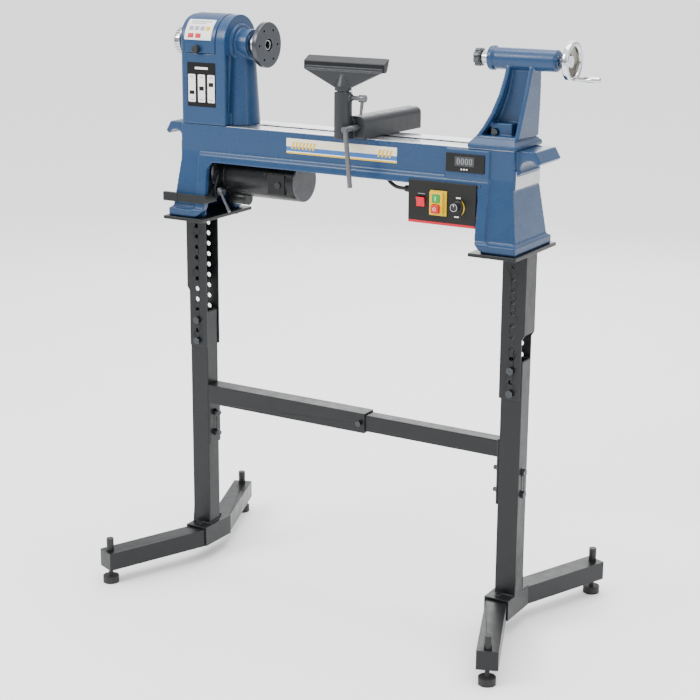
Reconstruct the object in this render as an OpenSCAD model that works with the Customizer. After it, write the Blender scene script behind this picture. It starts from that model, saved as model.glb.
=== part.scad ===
// Floor-standing wood lathe: cast bed on a height-adjustable tube stand, stepped-pulley headstock,
// sliding tool-rest banjo and tailstock. Millimetres, +Z up, +X towards the tailstock, front at -Y.

/* [Stand] */
// Distance of each leg's centre from the middle of the bed
leg_half = 404.5; // [400:0.5:406]
// Width of the leg tubes along the bed
tube_w = 48; // [46:0.5:48]
// Depth of the leg tubes across the bed
tube_d = 42.5; // [41:0.5:42.5]
// Wall of every stand tube
tube_t = 3; // [2:0.5:4]
// Height of the top of the lower leg tube above the floor
tube_top = 612; // [600:1:612]
// Underside of the top plates above the floor
plate_z = 841; // [839:1:843]
// Thickness of the top plates
plate_t = 7.5; // [6:0.5:7.5]
// Depth of the top plates
plate_d = 200; // [190:1:200]
// Distance between two height holes
hole_pitch = 25; // [24:0.5:26]
// Number of height holes in each flange
hole_count = 12; // [12:1:12]
// Diameter of the height holes
hole_d = 11; // [10.8:0.1:12]

/* [Feet] */
// Levelling foot, distance from the leg's centre line along the bed
foot_out = 83; // [80:1:84]
// Levelling foot, distance from the spindle's plane
foot_y = 271.5; // [260:0.5:275]
// Spread of each foot arm away from square
arm_angle = 21.8; // [20:0.1:23]
// Width of a foot arm
arm_w = 46; // [44:0.5:46]
// Height of a foot arm
arm_h = 42; // [40:0.5:42]
// Underside of the foot arms above the floor
arm_z = 36; // [34:0.5:38]
// Radius of the round pads
pad_r = 18.5; // [16:0.5:20]

/* [Bed] */
// Height of the bed casting from its feet to the ways
bed_h = 210; // [208:0.5:212]
// Half length of the ways
bed_half = 414; // [412:1:416]
// Half width across the ways
way_half = 63; // [62:0.5:64]
// Width of the slot between the ways
slot_w = 23; // [22:0.5:24]
// Depth of the beam that joins the two bed legs
beam_h = 83.5; // [80:0.5:85]
// Wall thickness of the casting
wall = 9; // [8:0.5:9]

/* [Headstock] */
// Height of the spindle above the ways, half of the swing
centre_h = 178; // [177:0.5:179]
// Radius of the arched top
arch_r = 64; // [63:0.5:64]
// Faceplate radius
faceplate_r = 50.5; // [45:0.5:55]
// Radius of the circle of faceplate holes
faceplate_pcr = 36; // [32:0.5:38]
// Number of faceplate holes
faceplate_holes = 6; // [4:1:8]
// Belt groove radius on the spindle's middle step
spindle_groove_r = 36; // [34:0.5:38]
// Belt groove radius on the motor's middle step
motor_groove_r = 27; // [25:0.5:28]

/* [Motor] */
// Radius of the motor's can
motor_r = 46.5; // [44:0.5:46.5]
// Height of the motor's axis above the floor
motor_z = 941; // [939:0.5:942]

/* [Tool rest] */
// Length of the tool rest
rest_len = 196; // [150:1:200]
// Radius of the tool-rest post
post_r = 12.7; // [12:0.1:12.7]
// Turn of the banjo seen from above
banjo_turn = 3.5; // [0:0.5:5]

/* [Tailstock] */
// Radius of the tailstock's barrel
barrel_r = 22.5; // [21.5:0.5:23]
// Radius of the quill
quill_r = 14; // [12:0.5:14]
// Radius of the tailstock's handwheel
wheel_r = 41; // [38:0.5:44]

/* [Hidden] */
$fn = 64;
eps = 0.01;
gap = 0.4;

// The origin is on the floor under the middle of the whole machine; the bed's middle is left of it.
bed_x = -25.5;

// Stand, all drawn for the right-hand side
tube_in = leg_half - tube_w / 2;
tube_out = leg_half + tube_w / 2;
channel_t = 4;
channel_y = tube_d / 2 + gap;
channel_in = tube_in - 2.5;
channel_out = tube_out + gap + channel_t;
web_bottom = 669;
flange_bottom = 527;
flange_step = 6.5;
hole_top = plate_z - 25.5;
plate_w = 108;
plate_x = leg_half - 17;
saddle_half = 52;
saddle_t = 5;
saddle_top = arm_z + arm_h + saddle_t + gap;
saddle_in = tube_out - 58;
pad_x = leg_half + foot_out;
arm_x0 = pad_x - foot_y * tan(arm_angle);
arm_len = foot_y / cos(arm_angle) + 14;
stud_r = 5;
bolt_r = 5;
head_r = 8.5;
head_t = 6.5;
bar_z = 410.5;
bar_h = 46;
bar_d = 42;
bar_t = 3.5;
inner_h = 38;
inner_d = 34;
bar_end = 48;
bar_lap = 90;
end_plate_t = 5;
end_plate_z = 286;
bar_bolt_z = [312, 362];
height_bolt_k = [9, 11];

// Bed
way_z = plate_z + plate_t + bed_h;
foot_z = plate_z + plate_t;
beam_z = way_z - beam_h;
leg_in = 339;
leg_out = bed_half + 14;
foot_face = bed_half + 20;
foot_h = 18;
band_w = 24;
band_t = 6;
corner_r = 14;
band_top = beam_z + 22.5;
lean_z = band_top + 3;
lean = 16;
way_t = 14.6;
pad_t = 3;
pad_low = beam_z + 3;
pad_high = beam_z + 43;
lip_half = 50;
lip_r = 20;
boss_x = [262, 362];
belt_hole = [-402, -324];

// Headstock
spindle_z = way_z + centre_h;
head_x = [-bed_half, -292];
seam_x = -317;
end_wall = 14;
head_wall = 8;
door_z = spindle_z - 20;
hinge_y = 70;
hinge_z = door_z;
nose_x = -256;
nose_r = 33;
bearing_r = [26, 31];
bearing_w = 15;
journal_r = [12.5, 15];
thread_r = 16.5;
face_x = -216;
fit = 0.05;
step_w = 20;
belt_w = 12;
belt_t = 4;
belt_x = -363;
step_d = 8;

// Motor
motor_x = [-326, -126];
cover_x = -121.5;
motor_hinge = [44, 1008];
hinge_r = 5;
plate_x0 = -332;
arm_y = -44;
tension_swing = 6.5;
arm_lock_z = 905;
bar_grip_z = 892;

// Control box
box_x = [184, 316];
box_z = [896, beam_z];
panel_x = [180, 336.5];
panel_z = [894, 984];
panel_y = -74.5;
rocker_c = [210, 939.5];
housing_x = [233, 271];
housing_z = [914, 966];
knob_c = [297, 937.5];

// Cable from the control box to the motor, about 390 mm long
cable_r = 4;
cable_path = [
  [157, -45, 958], [146, -45, 958], [134, -45, 960], [122, -44, 966], [110, -42, 976],
  [98, -39, 987], [84, -35, 996], [66, -30, 1001], [44, -24, 1004], [14, -16, 1006],
  [-16, -8, 1007], [-46, 1, 1007], [-76, 11, 1006], [-104, 20, 1004], [-128, 27, 1001],
  [-146, 31, 999], [-158, 32, 998], [-168, 32, 998]
];

// Banjo and tool rest, the banjo drawn about its clamp stud
stud_x = 62;
rest_gap = 0.2;
arm_left = -28;
arm_right = 18;
arm_front = -78;
arm_back = 148;
arm_top = 48;
socket = [-26, -93.4];
socket_r = 19;
socket_top = 99;
shaft_h = 24.5;
shaft_r = 6.3;
shaft_end = -129;
throw = 0.6;
slot_y = [-60, 136];
post_top = way_z + 101.5;
blade_z = way_z + 142;
lock_h = 88;
lever_len = 122;
rest_x = stud_x + socket[0] * cos(banjo_turn) + socket[1] * sin(banjo_turn);
rest_y = socket[1] * cos(banjo_turn) - socket[0] * sin(banjo_turn);

// Tailstock
base_x = [309, 417];
base_half = 65;
stem_z = way_z + 20;
clamp_x = 356;
clamp_h = 32;
barrel_x = [326, 478];
quill_x = [310, 440];
wheel_x = 511;
handle_z = -33.6;

// ---- helpers ----
module at_bed() translate([bed_x, 0, 0]) children();

module on_side(s) {
  if (s < 0) mirror([1, 0, 0]) children();
  else children();
}

module both_sides() {
  children();
  mirror([1, 0, 0]) children();
}

module both_faces() {
  children();
  mirror([0, 1, 0]) children();
}

// Box between two corners
module span(a, b) translate(a) cube(b - a);

// Round bar along X, at a point of the YZ plane
module bar_x(r, x0, x1, y, z) translate([x0, y, z]) rotate([0, 90, 0]) cylinder(r = r, h = x1 - x0);

// Round bar along Y, at a point of the XZ plane
module bar_y(r, y0, y1, x, z) translate([x, y0, z]) rotate([-90, 0, 0]) cylinder(r = r, h = y1 - y0);

// Solid of revolution about the X axis through (y, z); the profile holds [radius, x] points
module turned_x(y, z) translate([0, y, z]) rotate([0, 90, 0]) rotate_extrude($fn = 96) children();

// Outline in the XZ plane, pushed along Y
module along_y(y0, y1) translate([0, y1, 0]) rotate([90, 0, 0]) linear_extrude(y1 - y0) children();

// Outline in the YZ plane, pushed along X
module along_x(x0, x1) translate([x0, 0, 0]) rotate([90, 0, 90]) linear_extrude(x1 - x0) children();

function polar(a) = [cos(a), sin(a)];
function arc(c, r, a0, a1, n = 8) = [for (i = [0:n]) c + r * polar(a0 + (a1 - a0) * i / n)];

function flip(pts) = [for (i = [len(pts) - 1:-1:0]) [-pts[i][0], pts[i][1]]];

// Hex head and washer face along +X from the origin
module hex_head(t = head_t) rotate([0, 90, 0]) cylinder(r = head_r, h = t, $fn = 6);

// ---- stand ----
module tube_z(w, d, t, z0, z1) translate([0, 0, z0]) linear_extrude(z1 - z0) difference() {
  square([w, d], center = true);
  square([w - 2 * t, d - 2 * t], center = true);
}

module lower_leg() {
  bolt_z = [for (k = height_bolt_k) hole_top - hole_pitch * k];
  difference() {
    union() {
      translate([leg_half, 0, 0]) tube_z(tube_w, tube_d, tube_t, saddle_top, tube_top);
      span([saddle_in, -saddle_half, saddle_top - saddle_t], [tube_out, saddle_half, saddle_top]);
      for (x = [saddle_in, tube_out - saddle_t])
        span([x, -saddle_half, arm_z], [x + saddle_t, saddle_half, saddle_top - saddle_t + eps]);
    }
    for (z = bolt_z) bar_y(bolt_r + gap / 2, -tube_d, tube_d, leg_half, z);
    for (z = bar_bolt_z) bar_x(bolt_r + gap / 2, tube_in - 1, tube_out + 1, 0, z);
    for (y = [-38, 38]) translate([leg_half - 6, y, arm_z]) cylinder(r = bolt_r + gap / 2, h = arm_h + 20);
  }
}
module lower_leg_left() color("#1d2024") at_bed() on_side(-1) lower_leg();
module lower_leg_right() color("#1d2024") at_bed() on_side(1) lower_leg();

// Closed tube that runs out from the saddle to its levelling foot, at +Y
module foot_arm() {
  difference() {
    translate([arm_x0, 0, arm_z]) rotate([0, 0, -arm_angle]) difference() {
      translate([-arm_w / 2, -arm_w, 0]) cube([arm_w, arm_len + arm_w, arm_h]);
      translate([tube_t - arm_w / 2, -arm_w - 1, tube_t])
        cube([arm_w - 2 * tube_t, arm_len + arm_w + 1 - tube_t, arm_h - 2 * tube_t]);
    }
    span([0, -arm_len, 0], [2 * leg_half, gap, tube_top]);
    for (x = [saddle_in - 2 * arm_w, tube_out - saddle_t - gap])
      span([x, -1, arm_z - 1], [x + 2 * arm_w + saddle_t + gap, saddle_half + gap, saddle_top]);
    translate([pad_x, foot_y, 0]) cylinder(r = stud_r + gap, h = tube_top);
    translate([leg_half - 6, 38, 0]) cylinder(r = bolt_r + gap / 2, h = tube_top);
  }
}
module foot_arm_front_left() color("#1d2024") at_bed() on_side(-1) mirror([0, 1, 0]) foot_arm();
module foot_arm_rear_left() color("#1d2024") at_bed() on_side(-1) foot_arm();
module foot_arm_front_right() color("#1d2024") at_bed() mirror([0, 1, 0]) foot_arm();
module foot_arm_rear_right() color("#1d2024") at_bed() foot_arm();

module foot_lock_nuts() {
  cap_r = 8.5;
  cap_h = 30;
  color("#101214") at_bed() both_sides() both_faces() difference() {
    translate([pad_x, foot_y, arm_z + arm_h]) cylinder(r = cap_r, h = cap_h);
    translate([pad_x, foot_y, 0]) cylinder(r = stud_r + gap, h = arm_z + arm_h + cap_h - 3);
  }
}

module levelling_foot() translate([pad_x, foot_y, 0]) {
  pad_h = 16;
  cylinder(r = pad_r, h = pad_h);
  cylinder(r = stud_r, h = arm_z + arm_h + 22);
}
module foot_front_left() color("#141414") at_bed() on_side(-1) mirror([0, 1, 0]) levelling_foot();
module foot_rear_left() color("#141414") at_bed() on_side(-1) levelling_foot();
module foot_front_right() color("#141414") at_bed() mirror([0, 1, 0]) levelling_foot();
module foot_rear_right() color("#141414") at_bed() levelling_foot();

module rect_tube_x(x0, x1, h, d, t) along_x(x0, x1) translate([0, bar_z]) difference() {
  square([d, h], center = true);
  square([d - 2 * t, h - 2 * t], center = true);
}

// End plate against the leg's inner face, drawn at the right-hand leg
module bar_end_plate() difference() {
  span([tube_in - end_plate_t, -bar_d / 2, end_plate_z], [tube_in, bar_d / 2, bar_z + bar_h / 2]);
  for (z = bar_bolt_z) bar_x(bolt_r + gap / 2, tube_in - 2 * end_plate_t, tube_in + 1, 0, z);
}

module crossbar_outer() color("#1d2024") at_bed() {
  difference() {
    rect_tube_x(end_plate_t - tube_in - eps, bar_end, bar_h, bar_d, bar_t);
    bar_y(3.5 + fit, -bar_d, 0, bar_end - 12, bar_z);
  }
  on_side(-1) bar_end_plate();
}

module crossbar_inner() color("#1d2024") at_bed() {
  rect_tube_x(bar_end - bar_lap, tube_in - end_plate_t + eps, inner_h, inner_d, tube_t);
  bar_end_plate();
}

// Every bolt of the stand with its nut
module stand_bolts() {
  nut_y = channel_y + channel_t + gap;
  color("#0e0f11") at_bed() {
    both_sides() {
      for (k = height_bolt_k) {
        z = hole_top - hole_pitch * k;
        bar_y(bolt_r, -nut_y - eps, nut_y + head_t + 3, leg_half, z);
        translate([leg_half, -nut_y, z]) rotate([0, 0, -90]) hex_head();
        translate([leg_half, nut_y, z]) rotate([0, 0, 90]) hex_head();
      }
      for (z = bar_bolt_z) {
        bar_x(bolt_r, tube_in - end_plate_t - head_t - 8, tube_out + eps, 0, z);
        translate([tube_out, 0, z]) hex_head();
        translate([tube_in - end_plate_t - head_t, 0, z]) hex_head();
      }
      both_faces() translate([leg_half - 6, 38, arm_z + arm_h - 14]) {
        cylinder(r = bolt_r, h = saddle_top - arm_z - arm_h + 14 + eps);
        translate([0, 0, saddle_top - arm_z - arm_h + 14]) cylinder(r = head_r, h = head_t, $fn = 6);
      }
    }
    screw_y = -bar_d / 2;
    bar_y(3.5, screw_y - 5, -inner_d / 2 - gap, bar_end - 12, bar_z);
    bar_y(6, screw_y - 9, screw_y - 5 + eps, bar_end - 12, bar_z);
  }
}

module upper_leg() difference() {
  union() {
    both_faces() along_y(channel_y, channel_y + channel_t) polygon([
      [channel_in, plate_z + eps], [channel_in, flange_bottom],
      [channel_out - flange_step, flange_bottom], [channel_out - flange_step, web_bottom - 10],
      [channel_out, web_bottom], [channel_out, plate_z + eps]
    ]);
    span([channel_out - channel_t, -channel_y - channel_t / 2, web_bottom],
         [channel_out, channel_y + channel_t / 2, plate_z + eps]);
    span([plate_x - plate_w / 2, -plate_d / 2, plate_z], [plate_x + plate_w / 2, plate_d / 2, foot_z]);
  }
  for (k = [0:hole_count - 1])
    bar_y(hole_d / 2, -tube_d, tube_d, leg_half, hole_top - hole_pitch * k);
  for (y = [-66, 66]) translate([bed_bolt_x, y, plate_z - 1])
    cylinder(r = bolt_r + gap / 2, h = plate_t + 2);
}
module upper_leg_left() color("#1d2024") at_bed() on_side(-1) upper_leg();
module upper_leg_right() color("#1d2024") at_bed() on_side(1) upper_leg();

// ---- bed ----
bed_bolt_x = 358;

// Side view of half the casting, from the middle of the opening out to the end and back over the ways
function bed_half_outline() = concat(
  [[0, beam_z]],
  arc([leg_in - 20, beam_z - 20], 20, 90, 0),
  arc([leg_in + 30, foot_z + 30], 30, 180, 270),
  [[foot_face, foot_z], [foot_face, foot_z + foot_h], [leg_out, foot_z + foot_h + 4],
   [bed_half, pad_low], [bed_half, way_z], [0, way_z]]
);

module bed_side() polygon(concat(bed_half_outline(), flip(bed_half_outline())));

// End view of the casting: upright beside the ways, leaning out down the legs
module bed_end(add, foot_add) {
  h = way_half + add;
  half = [[0, way_z], [way_half, way_z], [way_half, band_top], [h, band_top - 1 - add],
          [h + lean, foot_z + foot_h + 4], [h + lean + foot_add, foot_z + foot_h],
          [h + lean + foot_add, foot_z], [0, foot_z]];
  polygon(concat(half, flip(half)));
}

// The raised band along the opening, down the legs' inner edges and round their feet
module bed_band() difference() {
  bed_side();
  translate([-bed_half, band_top]) square([2 * bed_half, bed_h]);
  both_sides() translate([leg_in + band_w, foot_z + foot_h]) {
    translate([corner_r, 0]) square([bed_half, band_top - foot_z - foot_h + 1]);
    translate([0, corner_r]) square([bed_half, band_top - foot_z - foot_h - corner_r + 1]);
    translate([corner_r, corner_r]) circle(r = corner_r);
  }
}

// Hollow under the ways and inside each leg, open below and towards the opening
module bed_hollow() {
  half = [[0, way_z - way_t], [way_half - wall, way_z - way_t], [way_half - wall, lean_z],
          [way_half - wall + lean, foot_z - 1], [0, foot_z - 1]];
  intersection() {
    along_y(-2 * way_half, 2 * way_half) polygon([
      [-bed_half - 2, foot_z - 1], [-bed_half + wall, pad_low], [-bed_half + wall, way_z - way_t],
      [bed_half - wall, way_z - way_t], [bed_half - wall, pad_low], [bed_half + 2, foot_z - 1]
    ]);
    along_x(-2 * bed_half, 2 * bed_half) polygon(concat(half, flip(half)));
  }
}

// Lifting lip with a finger groove below it, at the right-hand end
module bed_lip() along_y(-lip_half, lip_half) difference() {
  polygon([[bed_half - 4, way_z], [bed_half + 40, way_z], [bed_half + 53, way_z - 22.6],
           [bed_half + 45, way_z - 29.6], [bed_half + 7, way_z - 49], [bed_half - 4, way_z - 49]]);
  translate([bed_half + 27, way_z - 38.6]) circle(r = lip_r);
}

module bed() color("#44658a") at_bed() difference() {
  union() {
    difference() {
      union() {
        intersection() {
          along_y(-2 * way_half, 2 * way_half) bed_side();
          along_x(-2 * bed_half, 2 * bed_half) bed_end(0, band_t);
        }
        intersection() {
          along_y(-2 * way_half, 2 * way_half) bed_band();
          along_x(-2 * bed_half, 2 * bed_half) bed_end(band_t, 5);
        }
        span([boss_x[0], -way_half - band_t, band_top - 2], [boss_x[1], -way_half + 1, way_z - 3]);
      }
      bed_hollow();
    }
    both_sides() bed_lip();
    both_sides() span([bed_half - 4, -60, pad_low + 1], [bed_half + pad_t, 60, pad_high]);
    // Lugs for the motor's hinge rod
    for (x = [-346, -232]) along_x(x, x + 10) polygon([
      [motor_hinge[0] - 9, motor_hinge[1] - 9], [way_half - wall + 1, motor_hinge[1] - 9],
      [way_half - wall + 1, way_z - way_t + 1], [motor_hinge[0] - 9, way_z - way_t + 1]
    ]);
    // Bosses that take the bolts from the top plates
    both_sides() both_faces() translate([bed_bolt_x, 66, foot_z]) cylinder(r = 11, h = 20);
  }
  span([-250, -slot_w / 2, way_z - way_t - 1], [396, slot_w / 2, way_z + 1]);
  span([belt_hole[0], -46, way_z - way_t - 1], [belt_hole[1], 46, way_z + 1]);
  // Flat seat behind the control panel
  span([panel_x[0] - 1, -2 * way_half, panel_z[0] - 1], [panel_x[1] + 1, panel_y + 4, panel_z[1] + 1]);
  bar_x(hinge_r, -350, -218, motor_hinge[0], motor_hinge[1]);
  both_sides() both_faces() translate([bed_bolt_x, 66, foot_z - 1]) cylinder(r = bolt_r, h = 17);
  for (x = [-311, -299]) for (y = [-48, 48])
    translate([x, y, way_z - way_t - 1]) cylinder(r = 4.2, h = way_t + 2);
}

// Bolts that hold the bed to the stand and the headstock to the bed
module casting_bolts() color("#2a2c2f") at_bed() {
  both_sides() both_faces() translate([bed_bolt_x, 66, plate_z - head_t]) {
    cylinder(r = head_r, h = head_t, $fn = 6);
    cylinder(r = bolt_r - fit, h = head_t + plate_t + 14);
  }
  for (x = [-311, -299]) for (y = [-48, 48]) translate([x, y, way_z - way_t - 5]) {
    cylinder(r = 5.5, h = 5);
    cylinder(r = 4, h = way_t + 20);
  }
}

// ---- headstock ----
module arch(r, z0) {
  translate([0, spindle_z]) circle(r = r, $fn = 128);
  translate([-r, z0]) square([2 * r, spindle_z - z0]);
}

// Rounds the headstock's outer end in plan and from the side
module head_rounding(half) {
  c = 11;
  intersection() {
    translate([0, 0, way_z - 1]) linear_extrude(2 * centre_h) polygon(concat(
      [[0, -half - 4], [0, half + 4]], arc([head_x[0] + c, half - c], c, 90, 180),
      arc([head_x[0] + c, c - half], c, 180, 270),
      [[head_x[0] + c, -half - 4]]));
    along_y(-2 * half, 2 * half) polygon(concat(
      [[0, way_z - 1], [0, spindle_z + half + 4], [head_x[0] + c, spindle_z + half + 4]],
      arc([head_x[0] + c, spindle_z + half - c], c, 90, 180), [[head_x[0], way_z - 1]]));
  }
}

module headstock() {
  buttress_x = head_x[1] + 2;
  inner = [head_x[0] + end_wall, seam_x];
  color("#44658a") at_bed() difference() {
    union() {
      difference() {
        intersection() {
          along_x(head_x[0], head_x[1]) arch(arch_r, way_z);
          head_rounding(arch_r);
        }
        along_x(inner[0], inner[1]) arch(arch_r - head_wall, way_z - 1);
        span([inner[0], -2 * arch_r, door_z], [inner[1], 2 * arch_r, spindle_z + 2 * arch_r]);
        both_faces() translate([head_x[1] + 6, -43, way_z + 24.5]) cylinder(r = 14, h = 130);
      }
      // Column under the nose, spreading to a foot on the bed
      translate([buttress_x, 0, way_z]) cylinder(r1 = 42, r2 = nose_r - 2, h = centre_h);
      bar_x(43, head_x[1] - 1, head_x[1] + 6, 0, spindle_z);
      bar_x(nose_r, head_x[1] - 1, nose_x, 0, spindle_z);
      // Outer hinge knuckles for the belt door
      for (x = [-398, -337]) {
        bar_x(4.5, x, x + 14, hinge_y, hinge_z);
        span([x, arch_r - 2, hinge_z - 16], [x + 14, hinge_y + 2, hinge_z - 2]);
      }
    }
    along_x(inner[0], inner[1]) arch(arch_r - head_wall, way_z - 1);
    bar_x(bearing_r[1] + fit, head_x[1] - bearing_w - 4, head_x[1] + 2, 0, spindle_z);
    bar_x(bearing_r[0] + fit, head_x[0] - 1, inner[0] + 1, 0, spindle_z);
    bar_x(journal_r[1] + 1.5, seam_x - 1, nose_x + 1, 0, spindle_z);
    bar_x(2.5, -400, -320, hinge_y, hinge_z);
    for (x = [-311, -299]) for (y = [-48, 48]) translate([x, y, way_z - 1]) cylinder(r = 4, h = 22);
  }
}

module bearing(x, r, bore) difference() {
  bar_x(r, x, x + bearing_w, 0, spindle_z);
  bar_x(bore + fit, x - 1, x + bearing_w + 1, 0, spindle_z);
}

module spindle_bearings() color("#b9bcc0") at_bed() {
  bearing(head_x[1] - bearing_w - 3, bearing_r[1], journal_r[1]);
  bearing(head_x[0] - 1, bearing_r[0], journal_r[0]);
}

module belt_door() {
  skin = 7;
  out = arch_r + 1;
  x0 = head_x[0] + end_wall + gap;
  x1 = seam_x - gap;
  color("#44658a") at_bed() difference() {
    union() {
      difference() {
        along_x(x0, x1) arch(out, door_z + gap);
        along_x(x0 - 1, x1 + 1) arch(out - skin, door_z - 1);
        span([x0 - 1, -2 * out, way_z], [x1 + 1, 2 * out, door_z + gap]);
      }
      bar_x(4.5, -383, -338, hinge_y, hinge_z);
      span([-383, out - 3, hinge_z + 1], [-338, hinge_y + 1, hinge_z + 12]);
    }
    bar_x(2.5, -400, -320, hinge_y, hinge_z);
    bar_y(3.2, -out - 2, -out + skin + 2, -364, door_z + 9);
  }
}

module hinge_pins() color("#8d9196") at_bed() {
  bar_x(2.4, -399, -322, hinge_y, hinge_z);
  bar_x(hinge_r - fit, -347, -221, motor_hinge[0], motor_hinge[1]);
}

module door_knob() {
  face = -arch_r - 1;
  color("#121212") at_bed() {
    bar_y(8.5, face - 12, face - 0.5, -364, door_z + 9);
    bar_y(3, face - 1, face + 7, -364, door_z + 9);
  }
}

// ---- spindle ----
module spindle() color("#c9ccd0") at_bed() difference() {
  turned_x(0, spindle_z) polygon([
    [0, -452], [8, -452], [8, -418], [journal_r[0], -418], [journal_r[0], head_x[0] + bearing_w + 2],
    [13.5, head_x[0] + bearing_w + 2], [13.5, seam_x + 4], [journal_r[1], seam_x + 4],
    [journal_r[1], nose_x + 2], [22, nose_x + 2], [22, face_x - 31], [thread_r, face_x - 31],
    [thread_r, face_x - 8], [11, face_x - 8], [11, face_x - 3], [0, face_x - 3]
  ]);
  bar_x(4.8, -460, face_x, 0, spindle_z);
  // Taper socket in the nose
  translate([face_x - 3 - 64, 0, spindle_z]) rotate([0, 90, 0]) cylinder(r1 = 7.2, r2 = 8.9, h = 64 + eps);
}

// Stepped pulley: three belt grooves and the rims between them
module stepped_pulley(radii, z, hub_r) turned_x(0, z) {
  for (i = [0:2]) {
    x = belt_x + (i - 1.5) * step_w;
    polygon([[hub_r, x], [radii[i] + 2, x], [radii[i] + 2, x + 3], [radii[i], x + 3],
             [radii[i], x + step_w - 3], [radii[i] + 2, x + step_w - 3], [radii[i] + 2, x + step_w + eps],
             [hub_r, x + step_w + eps]]);
  }
}

module spindle_pulley() color("#a9adb2") at_bed()
  stepped_pulley([for (i = [1:-1:-1]) spindle_groove_r + step_d * i], spindle_z, 13.5 + fit);

module drive_belt() {
  slack = 0.4;
  h = spindle_z - motor_z;
  module loop(add) {
    ra = motor_groove_r + add;
    rb = spindle_groove_r + add;
    a = asin((rb - ra) / h);
    t = [cos(a), -sin(a)];
    polygon([
      [ra * t[0], motor_z + ra * t[1]], [rb * t[0], spindle_z + rb * t[1]],
      [-rb * t[0], spindle_z + rb * t[1]], [-ra * t[0], motor_z + ra * t[1]]
    ]);
    translate([0, motor_z]) circle(r = ra, $fn = 96);
    translate([0, spindle_z]) circle(r = rb, $fn = 96);
  }
  color("#17171a") at_bed() along_x(belt_x - belt_w / 2, belt_x + belt_w / 2) difference() {
    loop(slack + belt_t);
    loop(slack);
  }
}

module faceplate() color("#26282b") at_bed() difference() {
  turned_x(0, spindle_z) polygon([
    [thread_r + fit, face_x - 30.5], [24, face_x - 30.5], [24, face_x - 14], [faceplate_r - 3, face_x - 14],
    [faceplate_r, face_x - 12], [faceplate_r, face_x - 1.5], [faceplate_r - 1.5, face_x],
    [14, face_x], [14, face_x - 7], [thread_r + fit, face_x - 7]
  ]);
  for (i = [0:faceplate_holes - 1]) rotate_about_spindle(360 / faceplate_holes * i + 30)
    bar_x(3, face_x - 20, face_x + 1, 0, spindle_z + faceplate_pcr);
}

module rotate_about_spindle(a) translate([0, 0, spindle_z]) rotate([a, 0, 0])
  translate([0, 0, -spindle_z]) children();

module outboard_handwheel() color("#d3d6da") at_bed() turned_x(0, spindle_z) polygon(concat(
  [[8 + fit, -463], [18, -463], [22, -460]], 
  arc([24.4, -455], 5, 150, 90, 3), arc([24.4, -455], 5, 60, 0, 3),
  [[29.4, -442], [26, -438], [17, -438], [17, -419], [8 + fit, -419]]
));

// ---- motor ----
module motor() color("#1b1d1f") at_bed() difference() {
  union() {
    bar_x(motor_r, motor_x[0] + 14, motor_x[1], 0, motor_z);
    bar_x(motor_r - 3, motor_x[0], motor_x[1] - 1, 0, motor_z);
    // Brush holder housings, front and back
    both_faces() span([-190, -motor_r - 2, motor_z - 27], [-146, -motor_r + 16, motor_z + 17]);
    both_faces() bar_y(8, -motor_r - 4.5, -motor_r, -163, motor_z - 6);
    // Filter housing under the drive end
    bar_x(15, -318, -268, -6, motor_z - motor_r - 5);
  }
  bar_x(10, motor_x[0] - 1, motor_x[0] + 30, 0, motor_z);
}

module motor_end_cover() color("#3f4247") at_bed() difference() {
  bar_x(motor_r - 0.5, motor_x[1], cover_x, 0, motor_z);
  for (a = [45, 225]) translate([0, 0, motor_z]) rotate([a, 0, 0])
    bar_x(2.5, cover_x - 3, cover_x + 1, 0, 36);
}

module motor_terminal_box() color("#1b1d1f") at_bed() difference() {
  union() {
    span([-216, -14, motor_z + 34], [-180, 40, 1006]);
    bar_x(6.5, -181, -168.2, 32, 998);
  }
  bar_x(motor_r + fit, -220, -176, 0, motor_z);
}

module motor_plate() color("#1b1d1f") at_bed() difference() {
  union() {
    along_x(plate_x0, motor_x[0]) difference() {
      union() {
        translate([0, motor_z]) circle(r = 42);
        polygon([[-20, motor_z + 30], [motor_hinge[0] - 8, motor_hinge[1]],
                 [motor_hinge[0] + 8, motor_hinge[1]],
                 [42, motor_z + 10], [0, motor_z - 20]]);
        polygon([[-20, motor_z - 34], [arm_y - 10, arm_lock_z - 12], [arm_y - 12, arm_lock_z + 10],
                 [-36, motor_z + 18], [0, motor_z]]);
      }
      translate([0, motor_z]) circle(r = 13);
    }
    bar_x(9, plate_x0, -234, motor_hinge[0], motor_hinge[1]);
  }
  bar_x(hinge_r, plate_x0 - 1, -233, motor_hinge[0], motor_hinge[1]);
  bar_x(4 + gap / 2, plate_x0 - 1, motor_x[0] + 1, arm_y, arm_lock_z);
}

module motor_pulley() color("#a9adb2") at_bed() {
  stepped_pulley([for (i = [-1:1:1]) motor_groove_r + step_d * i], motor_z, 7 - eps);
  bar_x(7, belt_x - 1.5 * step_w, motor_x[0] + 26, 0, motor_z);
}

// Bent flat bar that lifts the motor to slacken the belt
module tension_handle() {
  bar_t = 5;
  y0 = -91;
  x1 = plate_x0 - gap;
  color("#151618") at_bed() difference() {
    union() {
      span([-445, y0, bar_grip_z - 9], [x1, y0 + bar_t, bar_grip_z + 9]);
      span([-447, y0 - 2, bar_grip_z - 10], [-408, y0 + bar_t + 2, bar_grip_z + 10]);
      along_x(x1 - bar_t, x1) polygon([
        [y0, bar_grip_z - 9], [-60, bar_grip_z - 9], [arm_y + 9, arm_lock_z - 9],
        [arm_y + 9, arm_lock_z + 9], [arm_y - 9, arm_lock_z + 9],
        [-70, bar_grip_z + 9], [y0, bar_grip_z + 9]
      ]);
    }
    bar_x(4 + gap / 2, x1 - bar_t - 1, x1 + 1, arm_y, arm_lock_z);
  }
}

// Inner face of the leg's front wall at a height
function leg_wall_y(z) = wall - way_half - (lean_z - z) * lean / (lean_z - foot_z + 1);

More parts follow.
